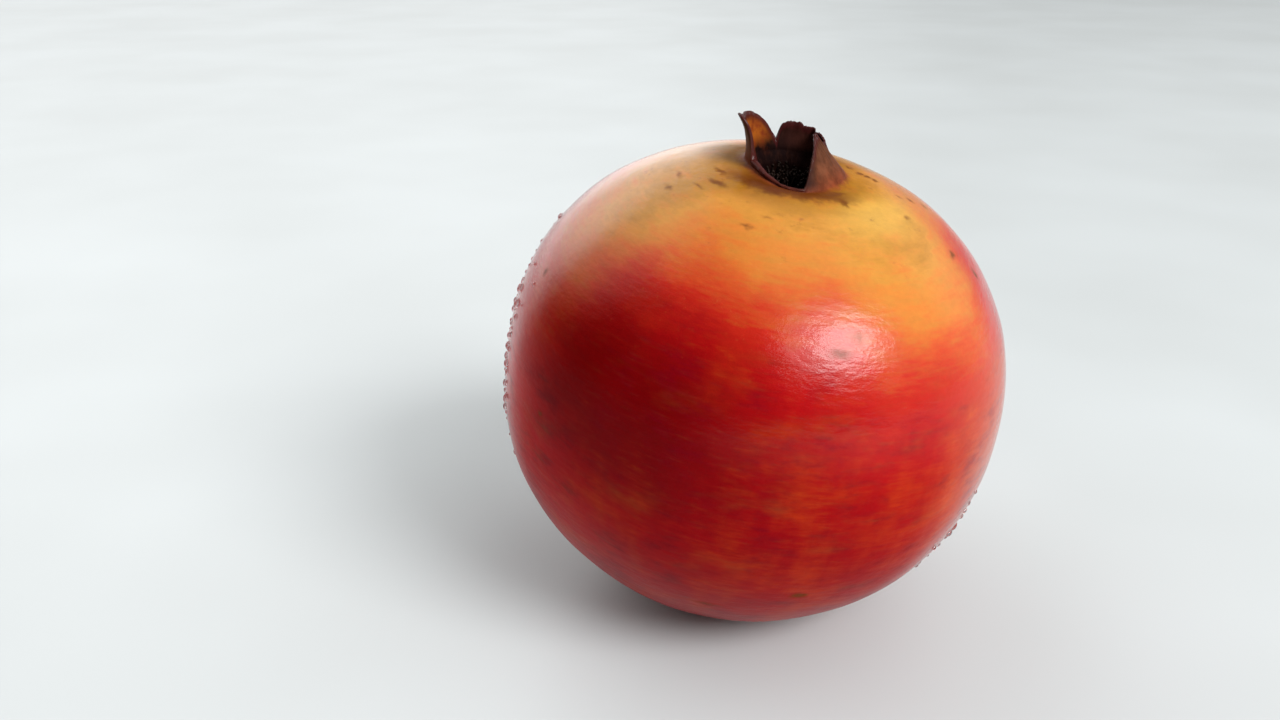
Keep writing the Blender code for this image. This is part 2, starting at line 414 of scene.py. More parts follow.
class Nodes:
    """The nodes of a material or a world. An input is a number, a vector, a colour or a node's output."""

    def __init__(self, owner, shader="Principled BSDF"):
        owner.use_nodes = True
        self.owner = owner
        self.tree = owner.node_tree
        self.shader = self.tree.nodes[shader]

    def feed(self, socket, value):
        if isinstance(value, bpy.types.NodeSocket):
            self.tree.links.new(value, socket)
        elif socket.type == "RGBA":
            socket.default_value = (*value, 1.0)
        else:
            socket.default_value = value

    def add(self, kind, inputs, **settings):
        node = self.tree.nodes.new("ShaderNode" + kind)
        for name, value in settings.items():
            setattr(node, name, value)
        for name, value in inputs.items():
            self.feed(node.inputs[name], value)
        return node

    def math(self, operation, *values):
        return self.add("Math", dict(enumerate(values)), operation=operation).outputs[0]

    def vector(self, operation, *values):
        node = self.add("VectorMath", dict(enumerate(values)), operation=operation)
        return node.outputs["Value" if operation in ("DOT_PRODUCT", "LENGTH") else "Vector"]

    def total(self, *values):
        result = values[0]
        for value in values[1:]:
            result = self.math("ADD", result, value)
        return result

    def times(self, first, second):
        return self.math("MULTIPLY", first, second)

    def scaled(self, value, factor, offset=0.0):
        return self.math("MULTIPLY_ADD", value, factor, offset)

    def step(self, value, low, high, to_low=0.0, to_high=1.0):
        """A smooth change from to_low to to_high as the value goes from low to high."""
        inputs = {"Value": value, "From Min": low, "From Max": high, "To Min": to_low, "To Max": to_high}
        return self.add("MapRange", inputs, interpolation_type="SMOOTHSTEP").outputs[0]

    def noise(self, place, scale, detail=2.0, rough=0.5):
        """Noise from -1 to 1; the scale is how many waves it has on a unit of place."""
        inputs = {"Vector": place, "Scale": scale, "Detail": detail, "Roughness": rough}
        return self.scaled(self.add("TexNoise", inputs).outputs[0], 2.0, -1.0)

    def ramp(self, value, low, high, stops):
        """A colour for each value from low to high; stops are (value, colour)."""
        share = self.scaled(value, 1 / (high - low), -low / (high - low))
        node = self.add("ValToRGB", {0: share})
        elements = node.color_ramp.elements
        while len(elements) < len(stops):
            elements.new(0.5)
        for element, (at, colour) in zip(elements, stops):
            element.position = (at - low) / (high - low)
            element.color = (*colour, 1.0)
        return node.outputs[0]

    def mix(self, share, first, second, blend="MIX"):
        node = self.add("Mix", {0: share, 6: first, 7: second}, data_type="RGBA", blend_type=blend)
        return node.outputs[2]

    def tinted(self, colour, tint, share, strength):
        """The colour, turned into the tint by share x strength."""
        return self.mix(self.scaled(share, strength), colour, tint)

    def brightened(self, colour, factor):
        return self.vector("SCALE", colour, (0, 0, 0), (0, 0, 0), factor)

    def squashed(self, place, factor):
        """The place, for a pattern that is squashed along the growth axis by this factor."""
        return self.vector("MULTIPLY", place, (1, 1, factor))

    def level(self, place):
        """The unit vector away from the growth axis, square to it."""
        return self.vector("NORMALIZE", self.squashed(place, 0))

    def stored(self, name):
        return self.add("Attribute", {}, attribute_name=name).outputs["Fac"]

    def growth_place(self):
        """The place in the growth frame, in mm."""
        inputs = {
            "Vector": self.add("TexCoord", {}).outputs["Object"],
            "Location": GROWTH.translation,
            "Rotation": LEAN.to_euler(),
            "Scale": (MM, MM, MM),
        }
        return self.add("Mapping", inputs, vector_type="TEXTURE").outputs[0]

    def bump(self, height, strength, distance, normal=None):
        inputs = {"Height": height, "Strength": strength, "Distance": distance}
        if normal is not None:
            inputs["Normal"] = normal
        return self.add("Bump", inputs).outputs[0]

    def finish(self, colour, roughness, normal, **constants):
        self.feed(self.shader.inputs["Base Color"], colour)
        self.feed(self.shader.inputs["Roughness"], roughness)
        self.feed(self.shader.inputs["Normal"], normal)
        for name, value in constants.items():
            self.shader.inputs[name.replace("_", " ").title().replace("Ior", "IOR")].default_value = value
        return self.owner


# ---------------------------------------------------------------- the rind's material

# The blush: the skin's colour by ripeness, in degrees of polar angle past the blush's edge.
BLUSH_EDGE = 50
BLUSH = (
    (-45, (0.33, 0.140, 0.008)),
    (-28, (0.38, 0.158, 0.010)),
    (-19, (0.47, 0.190, 0.021)),
    (-10, (0.49, 0.145, 0.017)),
    (-2, (0.46, 0.062, 0.010)),
    (6, (0.40, 0.013, 0.005)),
    (14, (0.35, 0.002, 0.003)),
    (30, (0.29, 0.001, 0.003)),
    (45, (0.25, 0.001, 0.003)),
    (70, (0.30, 0.002, 0.004)),
)

# Lobes of the blush's edge: direction, half width in degrees, how far the edge comes up there in degrees.
BLUSH_LOBES = (
    (-44, 34, -10),
    (-146, 20, -9),
    (-122, 24, 4),
    (-106, 20, 3),
    (-162, 30, -9),
    (6, 38, 9),
    (62, 36, -9),
    (118, 38, 14),
    (172, 30, 3),
)

# Patches of the skin: direction, polar angle, half length round the fruit and half width, all in degrees.
# The painted shade that darkens the red on the left flank and the painted light that brightens it on the
# lower left, where the sunny side stays orange below the blush's edge, where the skin round the crown is
# palest and brownest, and the painted shade that makes the left shoulder darker and browner.
PAINTED_SHADE_PATCH = (-120, 75, 44, 28)
PAINTED_LIGHT_PATCH = (-158, 100, 62, 46)
ORANGE_PATCH = (-24, 84, 28, 38)
PALE_PATCH = (-36, 25, 20, 11)
STAIN_PATCH = (-116, 19, 17, 8)
LEFT_SHOULDER_SHADE_PATCH = (-142, 68, 24, 30)

# In the same way, with a strength: where the red is mottled with orange.
EMBER_PATCHES = (
    (-74, 84, 22, 20, 0.30),
    (-84, 110, 30, 14, 0.15),
    (-64, 119, 12, 5, 0.40),
    (-42, 90, 18, 24, 0.50),
)

# In the same way, with a strength: the brown marks on the skin, two of which are also a painted dark
# reflection in the highlight.
MARKS = (
    (-139, 23, 4.6, 1.6, 1.0),
    (-143, 27, 3.4, 1.0, 0.6),
    (-152, 32, 3.0, 1.2, 0.7),
    (-160, 28, 3.0, 1.0, 0.6),
    (-152, 19.5, 4.2, 1.2, 0.8),
    (-108, 32, 2.8, 1.1, 0.6),
    (-102, 28, 2.6, 1.0, 0.5),
    (-55, 15.6, 5.5, 1.5, 1.0),
    (-55, 19.6, 1.6, 2.6, 0.9),
    (-17.5, 41.5, 2.6, 1.7, 0.8),
    # These two are partly a dull scuff and partly a painted dark reflection in the key light's highlight.
    (-75, 56.4, 4.2, 1.7, 0.6),
    (-70.5, 53, 2.2, 3.2, 0.42),
    (-11, 49, 2.0, 2.6, 0.8),
    (33, 16.6, 2.2, 0.8, 0.9),
    (20, 17.3, 1.9, 1.3, 1.0),
    (16, 18.8, 1.9, 1.4, 1.0),
    (12, 20.2, 1.9, 1.3, 0.9),
    (-1, 25.5, 1.3, 1.7, 0.6),
    (3, 29, 1.3, 1.9, 0.7),
    (7, 33, 1.3, 1.9, 0.6),
    (-22, 29, 1.8, 1.2, 0.6),
    (15, 57, 1.8, 2.6, 0.8),
    (-73, 112.5, 2.6, 1.7, 1.0),
    (-93, 121, 5.0, 1.6, 0.5),
    (-159, 64.5, 1.6, 1.4, 0.7),
    (-140, 89, 1.5, 1.3, 0.6),
    (48, 33, 6.0, 3.0, 0.9),
    (95, 62, 5.0, 3.5, 0.7),
    (140, 96, 3.0, 2.2, 0.8),
    (70, 118, 4.0, 2.0, 0.8),
)

# The colours that the skin is mottled and marked with.
TAWNY = (0.46, 0.115, 0.012)
EMBER = (0.42, 0.036, 0.004)
ORANGE = (0.46, 0.075, 0.006)
WINE = (0.15, 0.0, 0.006)
PALE = (0.56, 0.31, 0.045)
STAIN = (0.22, 0.085, 0.006)
# Painted shade on the left shoulder, as factors that multiply its red, green and blue.
LEFT_SHOULDER_SHADE_FACTORS = (0.78, 0.40, 0.45)
SPECKLE = (0.62, 0.30, 0.08)
# It is also the colour of the painted dark reflection that two of the marks put in the highlight.
MARK_AND_REFLECTION_BROWN = (0.12, 0.036, 0.008)

# The brown ring of skin round the crown's foot, and the darker skirt at its front. Each starts at its first
# distance from the growth axis, in mm, and is whole at its second.
RING = (0.15, 0.048, 0.004)
RING_REACH = (16.0, 12.0)
SKIRT = (0.085, 0.016, 0.002)
SKIRT_REACH = (15.6, 12.4)

# Lobes: direction and half width in degrees. Where the ring is weaker, and the skirt; where the crown's back
# sepals, its tall one and its worn front lip show; and where the skin is drier from higher up.
RING_RIGHT_LOBE = (0, 66)
RING_LEFT_LOBE = (178, 62)
SKIRT_LOBE = (-100, 62)
BACK_LOBE = (60, 62)
TALL_LOBE = (166, 56)
LIP_LOBE = (-90, 30)
DRY_LOBE = (-142, 50)

# The crown: its outside by height in mm; its inside, painted near-black as the cup's shade; the back
# sepals' inside, painted dark too but a little less; the tall sepal where light comes through it; the
# painted shade on the outside of the worn front lip; and the border along the edge.
CROWN_OUTSIDE = (
    (0.0, (0.22, 0.065, 0.010)),
    (1.6, (0.18, 0.040, 0.012)),
    (3.0, (0.150, 0.034, 0.013)),
    (5.0, (0.115, 0.037, 0.017)),
    (8.0, (0.065, 0.024, 0.012)),
)
CROWN_INSIDE_SHADE = ((0.006, 0.002, 0.002), (0.018, 0.006, 0.004))
BACK_INSIDE_SHADE = (0.035, 0.010, 0.007)
AMBER = ((0.28, 0.072, 0.007), (0.14, 0.021, 0.005))
FRONT_LIP_FOLD_SHADE = (0.008, 0.003, 0.003)
BORDER = (0.046, 0.007, 0.007)

# The lower skin is drier round this direction: not at all at the first angle from it, and most at the
# second, in degrees.
DRY_DIRECTION = -98
DRY_WIDTHS = (66, 44)


def patch(nodes, way, direction, polar, half_length, half_width):
    """1 at the middle of an oval patch of the skin, falling to 0 at its rim.

    way is the unit vector from the growth origin, which noise may roughen.
    """
    out = around(direction, math.sin(math.radians(polar)), math.cos(math.radians(polar)))
    along = toward(direction + 90)
    inputs = {
        "Vector": way,
        "Location": out,
        "Rotation": Matrix((along, out.cross(along), out)).transposed().to_euler(),
        "Scale": (math.radians(half_length), math.radians(half_width), 1.0),
    }
    near = nodes.add("Mapping", inputs, vector_type="TEXTURE").outputs[0]
    return nodes.add("TexGradient", {0: near}, gradient_type="SPHERICAL").outputs[1]


def mark_share(nodes, way):
    """How marked the skin is, 0 to 1."""
    found = 0.0
    for direction, polar, half_length, half_width, strength in MARKS:
        share = nodes.scaled(patch(nodes, way, direction, polar, half_length, half_width), strength)
        found = nodes.math("MAXIMUM", found, share)
    return found


def lobe(nodes, level, direction, half_width):
    """1 in this direction round the fruit, falling smoothly to 0 at half_width degrees from it."""
    across = nodes.vector("DOT_PRODUCT", level, tuple(toward(direction)))
    return nodes.step(across, math.cos(math.radians(half_width)), 1.0)


def skin_colour(nodes, place):
    """(the body's colour, the polar angle in degrees, how marked the skin is)."""
    way = nodes.vector("NORMALIZE", place)
    level = nodes.level(place)
    height = nodes.vector("DOT_PRODUCT", way, (0, 0, 1))
    polar = nodes.scaled(nodes.math("ARCCOSINE", height), math.degrees(1))
    banded = nodes.squashed(place, 2.6)

    # The blush, with an edge that the noises break up.
    clouds = nodes.noise(place, 0.030, 2.0)
    blotches = nodes.noise(banded, 0.075, 3.0, 0.6)
    streaks = nodes.noise(nodes.squashed(place, 6.0), 0.20, 4.0, 0.6)
    ripeness = nodes.total(
        polar,
        -BLUSH_EDGE,
        nodes.scaled(clouds, 6.0),
        nodes.scaled(blotches, 9.0),
        nodes.scaled(streaks, 8.0),
        *[nodes.scaled(lobe(nodes, level, at, half_width), rise) for at, half_width, rise in BLUSH_LOBES],
    )
    colour = nodes.ramp(ripeness, -50, 75, BLUSH)

    # Painted shade darkens the red on the left flank, and painted light brightens it on the lower left.
    darkest = nodes.total(patch(nodes, way, *PAINTED_SHADE_PATCH), nodes.scaled(blotches, 0.12))
    dark = nodes.step(darkest, 0.0, 0.75, 1.0, 0.52)
    light = nodes.step(patch(nodes, way, *PAINTED_LIGHT_PATCH), 0.0, 0.8, 1.0, 1.7)
    colour = nodes.brightened(colour, nodes.times(dark, light))

    # Tawny bands in the yellow; embers and wine in the red, and the sunny side's orange.
    tawny = nodes.step(nodes.total(nodes.noise(banded, 0.16, 4.0, 0.6), streaks), -0.1, 0.8)
    tawny = nodes.times(tawny, nodes.step(ripeness, 2, -8))
    colour = nodes.tinted(colour, TAWNY, tawny, 0.6)
    red = nodes.step(ripeness, 4, 22)
    curtains = nodes.noise(nodes.squashed(place, 0.35), 0.10, 3.0, 0.55)
    spots = nodes.noise(nodes.squashed(place, 1.4), 0.16, 2.5, 0.5)
    embers = nodes.total(
        nodes.scaled(curtains, 0.9),
        nodes.scaled(spots, 0.5),
        nodes.scaled(streaks, 0.35),
        *[nodes.scaled(patch(nodes, way, *where), strength) for *where, strength in EMBER_PATCHES],
    )
    embers = nodes.times(nodes.step(embers, -0.15, 0.95), red)
    embers = nodes.times(embers, nodes.step(dark, 0.4, 1.0))
    colour = nodes.tinted(colour, EMBER, embers, 0.75)
    glow = nodes.step(nodes.total(patch(nodes, way, *ORANGE_PATCH), nodes.scaled(blotches, 0.25)), 0.0, 0.9)
    colour = nodes.tinted(colour, ORANGE, glow, 0.55)
    elsewhere = nodes.vector("ADD", banded, (37, 11, 5))
    wine = nodes.total(
        nodes.noise(elsewhere, 0.085, 3.0, 0.6),
        nodes.noise(elsewhere, 0.22, 3.0, 0.6),
        streaks,
        nodes.scaled(curtains, -0.7),
    )
    wine = nodes.times(nodes.step(wine, -0.15, 0.95), red)
    colour = nodes.tinted(colour, WINE, wine, 0.65)

    # The shoulders.
    paler = nodes.step(nodes.total(patch(nodes, way, *PALE_PATCH), nodes.scaled(blotches, 0.3)), 0.0, 0.9)
    colour = nodes.tinted(colour, PALE, paler, 0.7)
    stain = nodes.step(nodes.total(patch(nodes, way, *STAIN_PATCH), nodes.scaled(streaks, 0.35)), 0.0, 0.8)
    colour = nodes.tinted(colour, STAIN, stain, 0.7)
    # Painted shade on the left shoulder: darker, and browner because its green and blue drop more than its
    # red.
    left_shoulder_shade = nodes.step(nodes.total(patch(nodes, way, *LEFT_SHOULDER_SHADE_PATCH), nodes.scaled(blotches, 0.1)), 0.0, 0.6)
    colour = nodes.mix(left_shoulder_shade, colour, LEFT_SHOULDER_SHADE_FACTORS, "MULTIPLY")
    speckles = nodes.step(nodes.noise(place, 1.1, 2.0, 0.6), 0.22, 0.60)
    speckles = nodes.times(speckles, nodes.step(polar, 75, 30))
    colour = nodes.tinted(colour, SPECKLE, speckles, 0.12)

    # The ring and the skirt round the crown's foot. The ring is weaker to the right and to the left.
    ragged = nodes.noise(place, 0.28, 3.0, 0.6)
    from_axis = nodes.vector("LENGTH", nodes.squashed(place, 0))
    ring = nodes.step(nodes.total(from_axis, nodes.scaled(ragged, 3.4)), *RING_REACH)
    ring = nodes.times(ring, nodes.scaled(lobe(nodes, level, *RING_RIGHT_LOBE), -0.70, 0.95))
    ring = nodes.times(ring, nodes.scaled(lobe(nodes, level, *RING_LEFT_LOBE), -0.75, 1.0))
    ring = nodes.times(ring, nodes.step(polar, 40, 30))
    colour = nodes.mix(ring, colour, RING)
    skirt = nodes.step(nodes.total(from_axis, nodes.scaled(ragged, 2.0)), *SKIRT_REACH)
    skirt = nodes.times(skirt, lobe(nodes, level, *SKIRT_LOBE))
    colour = nodes.tinted(colour, SKIRT, skirt, 0.85)

    # The marks, two of which are also a painted dark reflection, with rims that the warp roughens, and the
    # freckles, which grow fewer away from the crown.
    warp = nodes.add("TexNoise", {"Vector": place, "Scale": 0.6, "Detail": 4.0, "Roughness": 0.6}).outputs[1]
    warp = nodes.vector("MULTIPLY_ADD", warp, (0.05, 0.05, 0.03), (-0.025, -0.025, -0.015))
    marks = nodes.step(mark_share(nodes, nodes.vector("ADD", way, warp)), 0.05, 0.75)
    freckles = nodes.step(nodes.noise(nodes.squashed(place, 2.5), 0.34, 4.0, 0.65), 0.20, 0.52)
    freckles = nodes.times(freckles, nodes.step(polar, 58, 18, 0.0, 0.5))
    colour = nodes.mix(nodes.math("MAXIMUM", nodes.scaled(marks, 0.85), freckles), colour, MARK_AND_REFLECTION_BROWN)
    fine = nodes.noise(place, 0.9, 3.0, 0.6)
    grain = nodes.total(1.0, nodes.scaled(streaks, 0.20), nodes.scaled(fine, 0.10))
    return nodes.brightened(colour, grain), polar, marks


def crown_colour(nodes, place):
    """(the crown's colour, how far up the crown in mm, how wet its edge is).

    It is leathery brown outside, painted near-black inside as the cup's shade, and amber where light comes
    through the tall sepal.
    """
    inner, rise, below_edge = nodes.stored("inner"), nodes.stored("rise"), nodes.stored("below_edge")
    level = nodes.level(place)
    mottle = nodes.noise(nodes.squashed(place, 0.35), 0.9, 4.0, 0.65)
    outer = nodes.ramp(nodes.total(rise, nodes.scaled(mottle, 0.8)), 0, 8, CROWN_OUTSIDE)
    grain = nodes.noise(nodes.squashed(place, 0.25), 0.45, 4.0, 0.65)
    outer = nodes.brightened(outer, nodes.step(grain, -0.45, 0.45, 0.62, 1.25))

    # The inside, painted near-black as the cup's shade: the two sepals at the back, a little less dark, then
    # the tall one.
    inside = nodes.mix(nodes.step(mottle, -0.2, 0.6), *CROWN_INSIDE_SHADE)
    back = nodes.times(lobe(nodes, level, *BACK_LOBE), nodes.step(rise, 2.6, 5.0))
    inside = nodes.mix(back, inside, BACK_INSIDE_SHADE)
    cloudy = nodes.noise(place, 0.45, 3.0, 0.6)
    high = nodes.step(nodes.total(rise, nodes.scaled(mottle, 0.3), nodes.scaled(cloudy, 1.8)), 3.4, 6.0)
    below_tip = nodes.step(nodes.total(rise, nodes.scaled(cloudy, 1.2)), 10.2, 7.6, 0.25, 1.0)
    amber = nodes.times(lobe(nodes, level, *TALL_LOBE), high)
    amber = nodes.times(amber, below_tip)
    inside = nodes.mix(amber, inside, nodes.mix(nodes.step(cloudy, -0.4, 0.5), *AMBER))

    # The worn front lip is painted near-black above its foot as the shade of its fold, without the border
    # and the wet edge of the sepals.
    lip = nodes.times(lobe(nodes, level, *LIP_LOBE), nodes.step(rise, 2.6, 4.2))
    not_lip = nodes.scaled(lip, -1.0, 1.0)
    outer = nodes.tinted(outer, FRONT_LIP_FOLD_SHADE, lip, 0.95)
    border = nodes.step(nodes.total(below_edge, nodes.scaled(cloudy, 0.6)), 1.5, 0.3)
    border = nodes.times(border, not_lip)
    wet = nodes.times(nodes.step(below_edge, 0.5, 0.15), not_lip)
    return nodes.tinted(nodes.mix(inner, outer, inside), BORDER, border, 0.85), rise, wet


def rind_coat(nodes, place, polar, marks, wet, is_crown, in_cup):
    """How much wet coat there is: little at the lower front, on the marks and on the crown."""
    level = nodes.level(place)
    lowered = nodes.total(polar, nodes.scaled(lobe(nodes, level, *DRY_LOBE), 16.0))
    drier = nodes.times(nodes.step(lowered, 67, 85), nodes.step(polar, 96, 120, 1.0, 0.72))
    toward_front = nodes.vector("DOT_PRODUCT", level, tuple(toward(DRY_DIRECTION)))
    rim, whole = (math.cos(math.radians(width)) for width in DRY_WIDTHS)
    drier = nodes.times(drier, nodes.step(toward_front, rim, whole, 0.0, 0.9))
    coat = nodes.times(nodes.scaled(drier, -1.0, 1.0), nodes.step(polar, 15, 26, 0.1, 1.0))
    coat = nodes.total(coat, nodes.scaled(in_cup, -0.2), nodes.scaled(is_crown, -0.92))
    coat = nodes.math("MAXIMUM", coat, nodes.scaled(nodes.times(wet, is_crown), 0.5))
    return nodes.total(coat, nodes.scaled(marks, -0.6))


def rind_material():
    nodes = Nodes(bpy.data.materials.new("rind"))
    place = nodes.growth_place()
    skin, polar, marks = skin_colour(nodes, place)
    crown, rise, wet = crown_colour(nodes, place)
    ragged = nodes.noise(place, 0.5, 3.0, 0.6)
    is_crown = nodes.step(nodes.total(rise, nodes.scaled(ragged, 1.1)), 0.6, 2.6)
    in_cup = nodes.times(nodes.stored("inner"), is_crown)
    colour = nodes.mix(is_crown, skin, crown)

    pores = nodes.noise(place, 1.6, 3.0, 0.6)
    leather = nodes.noise(nodes.squashed(place, 3.0), 0.32, 3.0, 0.55)
    roughness = nodes.total(
        nodes.scaled(leather, 0.06, 0.40),
        nodes.scaled(pores, 0.05),
        nodes.scaled(in_cup, 0.3),
    )
    normal = nodes.bump(leather, 0.09, 0.5 * MM)
    normal = nodes.bump(pores, 0.05, 0.25 * MM, normal)
    nodes.feed(nodes.shader.inputs["Coat Normal"], normal)
    coat = rind_coat(nodes, place, polar, marks, wet, is_crown, in_cup)
    nodes.feed(nodes.shader.inputs["Coat Weight"], coat)
    looks = {"coat_roughness": 0.17, "coat_ior": 1.3, "specular_ior_level": 0.02}
    return nodes.finish(colour, roughness, normal, **looks)


def make_fruit():
    rings = fruit_rings()
    points = [Vector((0, 0, CROWN_BASE - CUP_DEPTH))]
    values = [(1.0, FOOT_RISE, FLOOR_BELOW_EDGE)]
    for ring in rings:
        for point, *value in ring:
            points.append(point)
            values.append(value)
    last_ring = points[-TURN_STEPS:]
    points.append(Vector((0, 0, sum(p.z for p in last_ring) / TURN_STEPS)))
    values.append((0.0, 0.0, BODY_BELOW_EDGE))
    mesh = new_mesh("fruit_rind", points, ring_faces(len(rings), TURN_STEPS))
    for i, name in enumerate(("inner", "rise", "below_edge")):
        store(mesh, name, [value[i] for value in values])
    piece = make_piece("fruit_rind", mesh, rind_material())
    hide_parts("fruit")


# ---------------------------------------------------------------- stamens

STAMEN_COUNT = 95
STAMEN_SIDES = 6
STAMEN_STEPS = 6
STAMEN_SPREAD = 4.3 * MM
STAMEN_FARTHEST = 4.9 * MM
STAMEN_SUNK = 0.1 * MM

# The least and the most, in mm, of a filament's height, lean and bow.
STAMEN_HEIGHTS = (2.4, 3.7)
STAMEN_LEANS = (0.2, 1.6)
STAMEN_BOWS = (0.1, 0.6)

# The radii at a filament's foot and tip.
STAMEN_THICK = 0.16 * MM
STAMEN_TIP_THICK = 0.088 * MM

# The anther on each filament's tip. Its profile is (share of its length, share of its radius).
ANTHER_SIDES = 8
ANTHER_LENGTH = 0.55 * MM
ANTHER_THICK = 0.24 * MM
ANTHER_OVERLAP = 0.3
ANTHER_TURN = 0.4 * MM
ANTHER_PROFILE = ((0, 0.25), (0.15, 0.75), (0.4, 1.0), (0.7, 0.9), (0.9, 0.6), (1.0, 0.2))

# The colours of the filaments and of their tips, and of the flecks on both, all painted near-black as the
# shade in the cup, far darker than dried stamens are.
STAMEN_SHADE_COLOURS = ((0.005, 0.002, 0.002), (0.012, 0.005, 0.003))
STAMEN_SHADE_FLECK = (0.022, 0.010, 0.005)


def tube(points, faces, line, radii, sides):
    """Adds a closed tube along a line of points, with a radius at each."""
    first = len(points)
    points.append(line[0])
    for i, middle in enumerate(line):
        forward = (line[min(i + 1, len(line) - 1)] - line[max(i - 1, 0)]).normalized()
        across = forward.orthogonal().normalized()
        other = forward.cross(across)
        for k in range(sides):
            turned = 2 * math.pi * k / sides
            points.append(middle + (across * math.cos(turned) + other * math.sin(turned)) * radii[i])
    points.append(line[-1])
    for face in ring_faces(len(line), sides):
        faces.append(tuple(first + index for index in reversed(face)))


def stamen_line(draw):
    """A dried filament, from the cup's floor to the anther's tip."""
    direction = draw.uniform(0, 360)
    foot = toward(direction) * STAMEN_SPREAD * math.sqrt(draw.random())
    foot.z = CROWN_BASE - CUP_DEPTH - STAMEN_SUNK
    height = draw.uniform(*STAMEN_HEIGHTS) * MM
    lean = toward(draw.uniform(0, 360)) * draw.uniform(*STAMEN_LEANS) * MM
    bow = toward(draw.uniform(0, 360)) * draw.uniform(*STAMEN_BOWS) * MM
    line = []
    for i in range(STAMEN_STEPS + 1):
        share = i / STAMEN_STEPS
        point = foot + lean * share**1.5 + bow * math.sin(math.pi * share)
        point.z += height * share
        level = Vector((point.x, point.y, 0))
        if level.length > STAMEN_FARTHEST:
            level *= STAMEN_FARTHEST / level.length
        line.append(Vector((level.x, level.y, point.z)))
    return line


def stamen_material():
    nodes = Nodes(bpy.data.materials.new("dried_stamen"))
    place = nodes.growth_place()
    grain = nodes.noise(nodes.squashed(place, 0.25), 3.0, 3.0, 0.6)
    height = nodes.vector("DOT_PRODUCT", place, (0, 0, 1))
    # The filaments are painted near-black as the shade in the cup.
    colour = nodes.mix(nodes.step(height, 38.0, 41.0), *STAMEN_SHADE_COLOURS)
    colour = nodes.mix(nodes.step(grain, -0.2, 0.6, 0.0, 0.4), colour, STAMEN_SHADE_FLECK)
    roughness = nodes.scaled(grain, 0.12, 0.55)
    return nodes.finish(colour, roughness, nodes.bump(grain, 0.4, 0.1 * MM), specular_ior_level=0.1)


def make_stamens():
    """The tuft: filaments that stand on the cup's floor, each with an anther."""
    draw = random.Random(7)
    radii = [between(STAMEN_THICK, STAMEN_TIP_THICK, i / STAMEN_STEPS) for i in range(STAMEN_STEPS + 1)]
    anther_radii = [ANTHER_THICK * size for _, size in ANTHER_PROFILE]
    points, faces = [], []
    for _ in range(STAMEN_COUNT):
        line = stamen_line(draw)
        tube(points, faces, line, radii, STAMEN_SIDES)
        forward = (line[-1] - line[-2] + toward(draw.uniform(0, 360)) * ANTHER_TURN).normalized()
        along = forward * ANTHER_LENGTH
        anther = [line[-1] + along * (share - ANTHER_OVERLAP) for share, _ in ANTHER_PROFILE]
        tube(points, faces, anther, anther_radii, ANTHER_SIDES)
    mesh = new_mesh("dried_stamens_tuft", points, faces)
    piece = make_piece("dried_stamens_tuft", mesh, stamen_material())
    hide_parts("dried_stamens")


# ---------------------------------------------------------------- stem stub

STUB_SIDE_RADIUS = 2.4 * MM
STUB_CUT_RADIUS = 2.7 * MM
STUB_TOP = -LOWER_HEIGHT + STEM_DIMPLE - 0.1 * MM
STUB_FOOT = -LOWER_HEIGHT + 0.5 * MM
STUB_STEPS = 72

# How finely its top, its side and its cut face are divided.
STUB_TOP_RINGS = 8
STUB_SIDE_RINGS = 10
STUB_CUT_RINGS = 16

# Its ridges as a share of the radius. The cut face is CUT_RAISED above the foot and splintered, but never
# further than SPLINTER_DEEPEST below that, and its middle is CUT_MIDDLE above the foot.
RIDGE = 0.05
SPLINTER = 0.10 * MM
SPLINTER_DEEPEST = 0.12 * MM
CUT_RAISED = 0.08 * MM
CUT_MIDDLE = 0.12 * MM

# The colours of its bark and of its wood, from ring to ring, and of the pith, to PITH_RADIUS in mm.
BARK = ((0.075, 0.038, 0.018), (0.20, 0.12, 0.060))
WOOD = ((0.42, 0.29, 0.15), (0.24, 0.145, 0.065))
PITH = (0.10, 0.05, 0.025)
PITH_RADIUS = 0.55


def stem_material():
    nodes = Nodes(bpy.data.materials.new("stem_wood"))
    place = nodes.growth_place()
    radius = nodes.vector("LENGTH", nodes.squashed(place, 0))
    fibres = nodes.noise(nodes.squashed(place, 0.2), 2.2, 4.0, 0.6)
    bark = nodes.mix(nodes.step(fibres, -0.4, 0.5), *BARK)
    rings = nodes.math("SINE", nodes.total(nodes.scaled(radius, 14.0), nodes.scaled(fibres, 2.5)))
    wood = nodes.mix(nodes.step(rings, -1.0, 1.0, 0.0, 0.6), *WOOD)
    wood = nodes.mix(nodes.step(radius, PITH_RADIUS, PITH_RADIUS - 0.2), wood, PITH)
    height = nodes.vector("DOT_PRODUCT", place, (0, 0, 1))
    cut = nodes.times(nodes.step(height, -44.55, -44.75), nodes.step(radius, 2.45, 2.2))
    colour = nodes.mix(cut, bark, wood)
    return nodes.finish(colour, nodes.scaled(fibres, 0.1, 0.75), nodes.bump(fibres, 0.5, 0.2 * MM))


